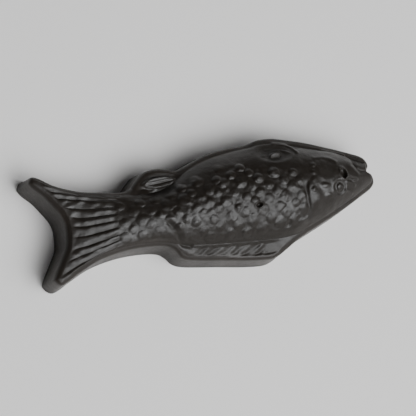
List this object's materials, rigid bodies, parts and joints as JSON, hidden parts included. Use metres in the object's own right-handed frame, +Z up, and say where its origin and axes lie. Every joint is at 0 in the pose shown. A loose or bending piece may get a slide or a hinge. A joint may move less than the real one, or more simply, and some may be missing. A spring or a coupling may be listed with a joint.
{
  "type": "licorice fish",
  "caption": "Black moulded licorice sweet in the form of a fish, flat at the back, with scales, fins, gill cover and a forked tail in low relief.",
  "frame": {"origin": "centre of the outline's box on the flat back that the fish lies on", "axes": "+X from the tail to the snout, +Y from the back fin to the belly, +Z up out of the face that carries the relief"},
  "size_m": [0.0498, 0.017, 0.0091],
  "materials": {
    "licorice": "near-black licorice with a thin oily satin gloss, faintly brown where it is thin"
  },
  "bodies": {
    "root": {"licorice_fish": "licorice"}
  },
  "joints": []
}
